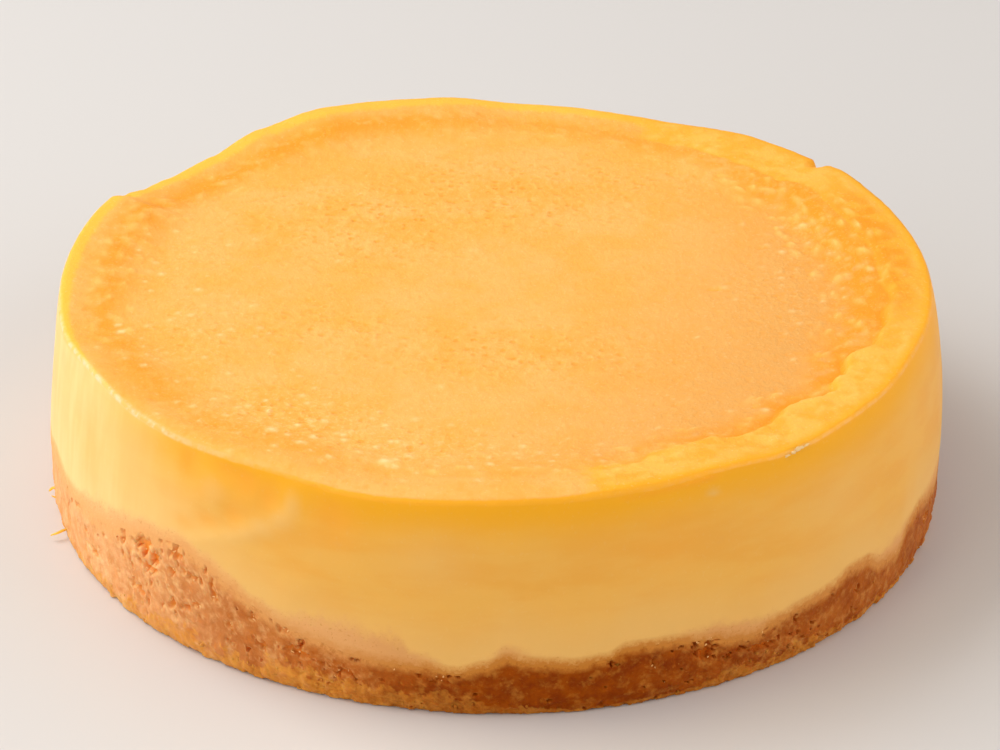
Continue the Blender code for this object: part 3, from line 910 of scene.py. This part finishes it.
class Shader:
    # a node tree with one Principled shader, and short ways to add to it
    def __init__(self, name):
        self.material = bpy.data.materials.new(name)
        self.material.use_nodes = True
        self.tree = self.material.node_tree
        self.main = self.tree.nodes["Principled BSDF"]
        self.place = self.add("ShaderNodeTexCoord").outputs["Object"]

    def add(self, kind, **settings):
        node = self.tree.nodes.new(kind)
        for key, value in settings.items():
            setattr(node, key, value)
        return node

    def feed(self, socket, value):
        if isinstance(value, bpy.types.NodeSocket):
            self.tree.links.new(value, socket)
        else:
            socket.default_value = value

    def mask(self, name):
        return self.add("ShaderNodeAttribute", attribute_name=name).outputs["Fac"]

    def mix(self, share, first, second, way="MIX"):
        node = self.add("ShaderNodeMix", data_type="RGBA", blend_type=way)
        for socket, value in zip((0, 6, 7), (share, first, second)):
            self.feed(node.inputs[socket], value)
        return node.outputs[2]

    def math(self, way, first, second):
        node = self.add("ShaderNodeMath", operation=way, use_clamp=False)
        self.feed(node.inputs[0], first)
        self.feed(node.inputs[1], second)
        return node.outputs[0]

    def times(self, first, second):
        return self.math("MULTIPLY", first, second)

    def noise(self, size, detail=2.0, rough=0.5, stretch=None):
        # features are `size` millimetres across
        node = self.add("ShaderNodeTexNoise")
        node.inputs["Scale"].default_value = 1 / (size * mm)
        node.inputs["Detail"].default_value = detail
        node.inputs["Roughness"].default_value = rough
        place = self.place
        if stretch:
            bend = self.add("ShaderNodeMapping")
            bend.inputs["Scale"].default_value = stretch
            self.feed(bend.inputs["Vector"], place)
            place = bend.outputs["Vector"]
        self.feed(node.inputs["Vector"], place)
        return node.outputs["Fac"]

    def cells(self, size, feature="F1"):
        node = self.add("ShaderNodeTexVoronoi", feature=feature)
        node.inputs["Scale"].default_value = 1 / (size * mm)
        self.feed(node.inputs["Vector"], self.place)
        return node

    def each(self, cellNode):
        # a random value for each cell
        split = self.add("ShaderNodeSeparateColor")
        self.feed(split.inputs[0], cellNode.outputs["Color"])
        return split.outputs[0]

    def ramp(self, value, low, high, start=0.0, end=1.0, way="SMOOTHSTEP"):
        node = self.add("ShaderNodeMapRange", interpolation_type=way)
        for socket, number in zip(range(5), (value, low, high, start, end)):
            self.feed(node.inputs[socket], number)
        return node.outputs[0]

    def bump(self, height, depth, normal=None):
        node = self.add("ShaderNodeBump")
        node.inputs["Strength"].default_value = 1
        node.inputs["Distance"].default_value = depth * mm
        self.feed(node.inputs["Height"], height)
        if normal:
            self.feed(node.inputs["Normal"], normal)
        return node.outputs["Normal"]

    def finish(self, color, look, normal=None, glow=None, roughness=None):
        # light travels inside for a reach in millimetres, times a depth for each of red, green and blue
        main = self.main
        main.subsurface_method = look["spread"]
        main.inputs["Subsurface Radius"].default_value = look["depth"]
        main.inputs["Subsurface Scale"].default_value = look["reach"] * mm
        main.inputs["Specular IOR Level"].default_value = look["specular"]
        self.feed(main.inputs["Base Color"], color)
        self.feed(main.inputs["Subsurface Weight"], look["inside"] if glow is None else glow)
        self.feed(main.inputs["Roughness"], look["roughness"] if roughness is None else roughness)
        if normal:
            self.feed(main.inputs["Normal"], normal)
        return self.material


def colorsOf(look):
    return {key: linear(value) for key, value in look.items() if isinstance(value, tuple) and value[0] > 1}


cheeseLook = {
    "cheese": (247, 186, 86),
    "cheeseDeep": (245, 178, 76),
    "cheeseLow": (246, 193, 108),
    # pale colour of the left wall: painted sheen
    "sheenPale": (255, 226, 155),
    # the toasted colour is browning with painted glow of light through the rim
    "toastedGlow": (254, 179, 32),
    # dent colour: partly the cheese's own colour, partly painted shade
    "dent": (254, 168, 50),
    "rimYellow": (254, 194, 70),
    "rimBand": (254, 178, 42),
    "ledge": (254, 190, 80),
    "ledgeDeep": (254, 177, 56),
    "top": (254, 180, 80),
    "topPale": (254, 187, 98),
    # darker top colour away from the window lamp: painted shade
    "topShade": (240, 172, 89),
    # inner rim colour: partly the skin's colour, partly painted shade of the inner slope
    "innerRim": (250, 159, 37),
    # crevice colour: painted shade under the torn edge, and the tear's brown at the notch
    "crevice": (252, 158, 34),
    # lump colour: partly pale skin, partly painted highlight; also the painted highlight between the pits
    "lump": (255, 210, 118),
    # pit colour: partly the skin's colour, partly painted shade in the pits
    "pit": (254, 165, 51),
    "speck": (255, 220, 148),
    "bubble": (255, 226, 158),
    "tanDry": (250, 186, 120),
    "tanSoaked": (228, 161, 94),
    "seamDry": (250, 182, 112),
    "seamSoaked": (208, 132, 50),
    "pale": (255, 232, 172),
    # colour of the painted highlight along the crease
    "creaseHighlightPale": (255, 216, 176),
    "inside": 0.45,  # share of the light that goes in
    "rimInside": 0.45,  # more of it in the rim
    "reach": 2.0,
    "spread": "BURLEY",  # quicker than a random walk, and nearly its look here
    "depth": (1.0, 0.66, 0.36),
    "roughness": 0.45,
    "skinRoughness": 0.62,
    "specular": 0.14,
}


def cheeseMaterial():
    color = colorsOf(cheeseLook)
    s = Shader("bakedCheese")
    fine = s.noise(0.5, 3, 0.6)
    peel = s.noise(1.05, 2, 0.5, (1, 0.55, 1))
    pits = s.cells(1.55)
    dimple = s.times(s.ramp(pits.outputs["Distance"], 0.5, 0.12), s.ramp(s.each(pits), 0.15, 0.75))
    dimple = s.times(dimple, s.ramp(s.mask("pitted"), 0, 1, 0, 1, "LINEAR"))
    broad = s.noise(3.2, 3)
    # the bare cheese of the wall: faint sideways smears, and painted sheen that makes the left side paler
    smear = s.noise(4.5, 3, 0.5, (0.35, 0.35, 1.3))
    streak = s.noise(2.6, 3, 0.5, (1, 1, 0.12))
    wall = s.mix(s.ramp(smear, 0.36, 0.66), color["cheese"], color["cheeseDeep"])
    wall = s.mix(s.mask("lowWall"), wall, color["cheeseLow"])
    # painted sheen on the left wall, broken into upright streaks
    wall = s.mix(s.times(s.mask("paintedSheenSide"), s.ramp(streak, 0.35, 0.7, 0.75, 1)), wall, color["sheenPale"])
    # toasted band under the crease: browning plus painted glow of light through the rim
    wall = s.mix(s.mask("toastedGlow"), wall, color["toastedGlow"])
    # darker orange in the dents: partly the cheese's colour, partly painted shade
    wall = s.mix(s.times(s.mask("dent"), 1.1), wall, color["dent"])
    # painted highlight on the ridges of the wall
    wall = s.mix(s.times(s.mask("ridgeHighlight"), 0.9), wall, color["cheeseLow"])
    bareEdge = s.mix(s.mask("yellowSide"), color["rimBand"], color["rimYellow"])
    wall = s.mix(s.mask("edge"), wall, bareEdge)
    ledge = s.mix(s.ramp(broad, 0.36, 0.62), color["ledgeDeep"], color["ledge"])
    ledge = s.mix(s.times(s.mask("ledgeOrange"), s.ramp(broad, 0.3, 0.55)), ledge, color["innerRim"])
    wall = s.mix(s.mask("ledge"), wall, ledge)
    # the baked skin of the top: blotches, fine peel with soft pits, pale specks
    top = s.mix(s.ramp(s.noise(10, 3), 0.35, 0.65), color["top"], color["topPale"])
    # painted shade: the top darkens towards the right front, away from the window lamp
    top = s.mix(s.mask("shadeAwayFromLamp"), top, color["topShade"])
    # deeper orange inside the rim: partly the skin's colour, partly painted shade of its inner slope
    top = s.mix(s.times(s.mask("innerRim"), s.ramp(broad, 0.28, 0.52)), top, color["innerRim"])
    # deeper orange in the pits: partly the skin's colour, partly painted shade in them
    pit = s.times(s.ramp(peel, 0.5, 0.32), s.ramp(s.mask("pitted"), 0, 1, 0.15, 0.4))
    top = s.mix(pit, top, color["pit"])
    top = s.mix(s.times(dimple, 0.85), top, color["pit"])
    top = s.mix(s.times(s.mask("pressed"), 0.5), top, color["pit"])
    # paler on the high points of the peel between the pits: painted highlight
    peak = s.times(s.ramp(peel, 0.52, 0.7), s.ramp(s.mask("pitted"), 0, 1, 0.08, 0.3))
    top = s.mix(peak, top, color["lump"])
    speck = s.times(s.ramp(s.noise(0.8, 3, 0.6), 0.52, 0.68), s.mask("speckled"))
    top = s.mix(s.times(speck, 0.4), top, color["speck"])
    wander = s.times(s.math("SUBTRACT", s.noise(1.8, 3, 0.6), 0.5), 0.9)
    body = s.mix(s.ramp(s.math("ADD", s.mask("skin"), wander), 0.15, 0.85), wall, top)
    # painted shade in the crevice, and the torn notch's own brown
    body = s.mix(s.mask("crevice"), body, color["crevice"])
    # paler lumps: partly their own pale skin, partly painted highlight
    body = s.mix(s.times(s.mask("lump"), 0.6), body, color["lump"])
    body = s.mix(s.mask("bubble"), body, color["bubble"])
    # crumbs mixed into the cheese above the crust
    mixed = s.math("ADD", s.mask("crumbMix"), s.times(s.math("SUBTRACT", s.noise(2.2, 4, 0.6), 0.5), 0.9))
    tan = s.ramp(mixed, 0.08, 0.78)
    crumbTan = s.mix(s.mask("soaked"), color["tanDry"], color["tanSoaked"])
    body = s.mix(s.times(tan, s.ramp(s.mask("wideMix"), 0, 1, 0.15, 0.95)), body, crumbTan)
    body = s.mix(s.times(tan, s.ramp(fine, 0.42, 0.3, 0, 0.5)), body, color["seamSoaked"])
    seam = s.mix(s.mask("soaked"), color["seamDry"], color["seamSoaked"])
    near = s.times(s.mask("seam"), s.ramp(s.noise(1.2, 4, 0.7), 0.3, 0.7, 0.3, 1.7, "LINEAR"))
    body = s.mix(s.ramp(near, 0.0, 0.85, 0, 1, "LINEAR"), body, seam)
    # painted highlight along the crease, broken by noise
    torn = s.ramp(s.noise(1.7, 3, 0.6), 0.38, 0.6, 0.3, 1)
    body = s.mix(s.times(s.mask("creaseHighlight"), torn), body, color["creaseHighlightPale"])
    flecks = s.times(s.ramp(s.noise(0.55, 2, 0.5), 0.6, 0.74), s.ramp(s.mask("baked"), 0, 1, 0.05, 0.16))
    body = s.mix(flecks, body, color["pale"])
    rough = s.math("MAXIMUM", s.mask("baked"), tan)
    relief = s.bump(s.times(fine, s.ramp(rough, 0, 1, 0.12, 1)), 0.1)
    relief = s.bump(s.times(peel, s.ramp(s.mask("baked"), 0, 1, 0.02, 1)), 0.16, relief)
    relief = s.bump(dimple, -0.18, relief)
    roughness = s.ramp(rough, 0, 1, cheeseLook["roughness"], cheeseLook["skinRoughness"])
    glow = s.ramp(s.mask("glow"), 0, 1, 0.1, cheeseLook["inside"])
    glow = s.math("ADD", glow, s.times(s.mask("rimGlow"), cheeseLook["rimInside"]))
    return s.finish(body, cheeseLook, relief, glow, roughness)


biscuitLook = {
    "pressed": (251, 184, 122),
    "amber": (234, 157, 92),
    "buttery": (204, 119, 48),
    "butteryDark": (178, 89, 19),
    "soaked": (164, 76, 0),
    "soakedDark": (134, 52, 0),
    "pale": (254, 206, 146),
    "golden": (240, 166, 64),
    "hollow": (196, 96, 10),
    "hollowDry": (252, 156, 62),
    "inside": 0.4,
    "reach": 1.2,
    "spread": "RANDOM_WALK",
    "depth": (1.0, 0.5, 0.26),
    "roughness": 0.5,
    "specular": 0.06,
}


def biscuitMaterial():
    color = colorsOf(biscuitLook)
    s = Shader("biscuitCrumb")
    blotch = s.ramp(s.noise(3.0, 4, 0.6), 0.3, 0.7)
    patches = s.noise(2.0, 4, 0.6)
    fine = s.noise(0.45, 3, 0.6)
    soaked = s.mask("soaked")
    dry = s.mix(blotch, color["pressed"], color["amber"])
    half = s.mix(blotch, color["buttery"], color["butteryDark"])
    wet = s.mix(blotch, color["soaked"], color["soakedDark"])
    body = s.mix(s.ramp(soaked, 0.0, 0.5), dry, half)
    body = s.mix(s.ramp(soaked, 0.5, 1.0), body, wet)
    light = s.mix(soaked, color["pale"], color["golden"])
    deep = s.mix(soaked, color["hollowDry"], color["hollow"])
    body = s.mix(s.times(s.ramp(patches, 0.48, 0.76), s.ramp(soaked, 0, 1, 0.6, 0.35)), body, light)
    body = s.mix(s.times(s.ramp(patches, 0.46, 0.24), s.ramp(soaked, 0, 1, 0.5, 0.35)), body, deep)
    gold = s.times(s.mask("foot"), s.ramp(s.noise(1.3, 4, 0.65), 0.3, 0.68, 0.2, 0.8))
    body = s.mix(s.times(gold, s.ramp(soaked, 0.3, 1.0, 0.9, 0.5)), body, color["golden"])
    body = s.mix(s.times(s.mask("halo"), s.ramp(soaked, 0.1, 0.7, 0.6, 0.15)), body, light)
    body = s.mix(s.mask("hollow"), body, deep)
    seam = s.mix(soaked, linear(cheeseLook["seamDry"]), linear(cheeseLook["seamSoaked"]))
    near = s.times(s.mask("nearCheese"), s.ramp(s.noise(1.2, 4, 0.7), 0.3, 0.7, 0.3, 1.7, "LINEAR"))
    body = s.mix(s.ramp(near, 0.0, 0.85, 0, 1, "LINEAR"), body, seam)
    body = s.mix(s.ramp(fine, 0.62, 0.8, 0, 0.3), body, light)
    relief = s.bump(patches, 0.14)
    relief = s.bump(fine, 0.12, relief)
    glow = s.ramp(s.mask("glow"), 0, 1, 0.1, biscuitLook["inside"])
    return s.finish(body, biscuitLook, relief, glow)


creamLook = {
    "cream": (252, 212, 146),
    "butter": (244, 182, 104),
    "inside": 0.0,
    "reach": 0.5,
    "spread": "RANDOM_WALK",
    "depth": (1.0, 0.6, 0.35),
    "roughness": 0.5,
    "specular": 0.3,
}


def creamMaterial():
    color = colorsOf(creamLook)
    s = Shader("paleCream")
    body = s.mix(s.mask("crumb"), color["butter"], color["cream"])
    return s.finish(body, creamLook)


def makeFloor():
    bpy.ops.mesh.primitive_plane_add(size=6, location=(0, 0, -0.0002))
    floor = bpy.context.object
    floor.name = "floor"
    s = Shader("paleFloor")
    s.main.inputs["Base Color"].default_value = linear((218, 215, 212))
    s.main.inputs["Roughness"].default_value = 0.45
    s.main.inputs["Specular IOR Level"].default_value = 0.3
    floor.data.materials.append(s.material)


studio = {
    # azimuth, elevation, distance in metres, size in metres, watts, colour
    "lamps": [
        ("window", 160, 48, 1.1, 0.8, 8.8, (1, 0.98, 0.96)),
        ("side", -145, 25, 1.3, 1.0, 6.1, (1, 0.98, 0.96)),
        ("fill", -14, 25, 1.6, 1.4, 11.3, (1, 0.93, 0.85)),
    ],
    "sky": (1.0, 0.98, 0.97),
    "skyStrength": 0.41,
}


def lightStudio():
    middle = (cadLow + cadHigh) / 2
    for name, azimuth, elevation, distance, size, watts, color in studio["lamps"]:
        lamp = bpy.data.lights.new(name, "AREA")
        lamp.shape, lamp.size, lamp.energy, lamp.color = "SQUARE", size, watts, color
        thing = bpy.data.objects.new(name, lamp)
        turn, lift = math.radians(azimuth), math.radians(elevation)
        way = Vector((math.cos(turn) * math.cos(lift), math.sin(turn) * math.cos(lift), math.sin(lift)))
        thing.location = middle + way * distance
        thing.rotation_euler = way.to_track_quat("Z", "Y").to_euler()
        scene.collection.objects.link(thing)
    world = bpy.data.worlds.new("sky")
    world.use_nodes = True
    world.node_tree.nodes["Background"].inputs["Color"].default_value = (*studio["sky"], 1)
    world.node_tree.nodes["Background"].inputs["Strength"].default_value = studio["skyStrength"]
    scene.world = world
    scene.view_settings.view_transform = "Standard"


view = {
    # where the camera stands and what it aims at, in metres
    "place": (0, -0.45764, 0.26863),
    "aim": (0.00064, 0, 0.0174),
    "lens": 111.19,
    "roll": 0.596,
}


def placeCamera():
    camera = bpy.data.objects.new("camera", bpy.data.cameras.new("camera"))
    camera.data.lens, camera.data.sensor_width = view["lens"], 36
    camera.data.clip_start = 0.01
    place = Vector(view["place"])
    away = (place - Vector(view["aim"])).to_track_quat("Z", "Y").to_matrix().to_4x4()
    roll = Matrix.Rotation(math.radians(view["roll"]), 4, "Z")
    camera.matrix_world = Matrix.Translation(place) @ away @ roll
    scene.collection.objects.link(camera)
    scene.camera = camera


def settle(piece, material):
    piece.data.materials.append(material)
    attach(piece, "root")
    print(piece.name, "has", len(piece.data.polygons), "faces")


placeCamera()
lightStudio()
makeFloor()
print("camera, lamps and floor are in place")

bakedCheese, biscuitCrumb, paleCream = cheeseMaterial(), biscuitMaterial(), creamMaterial()
cheeseFilling = makeFilling()
settle(cheeseFilling, bakedCheese)
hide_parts("cheese_filling")
biscuitBase = makeBase()
settle(biscuitBase, biscuitCrumb)
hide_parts("biscuit_base")
print("both layers are made")

settle(makeCrumbs(), biscuitCrumb)
settle(makeFlecks(), paleCream)
settle(makeFlakes(), paleCream)
settle(makeThreads(), bakedCheese)
print("crumbs, flecks, flakes and threads are made")
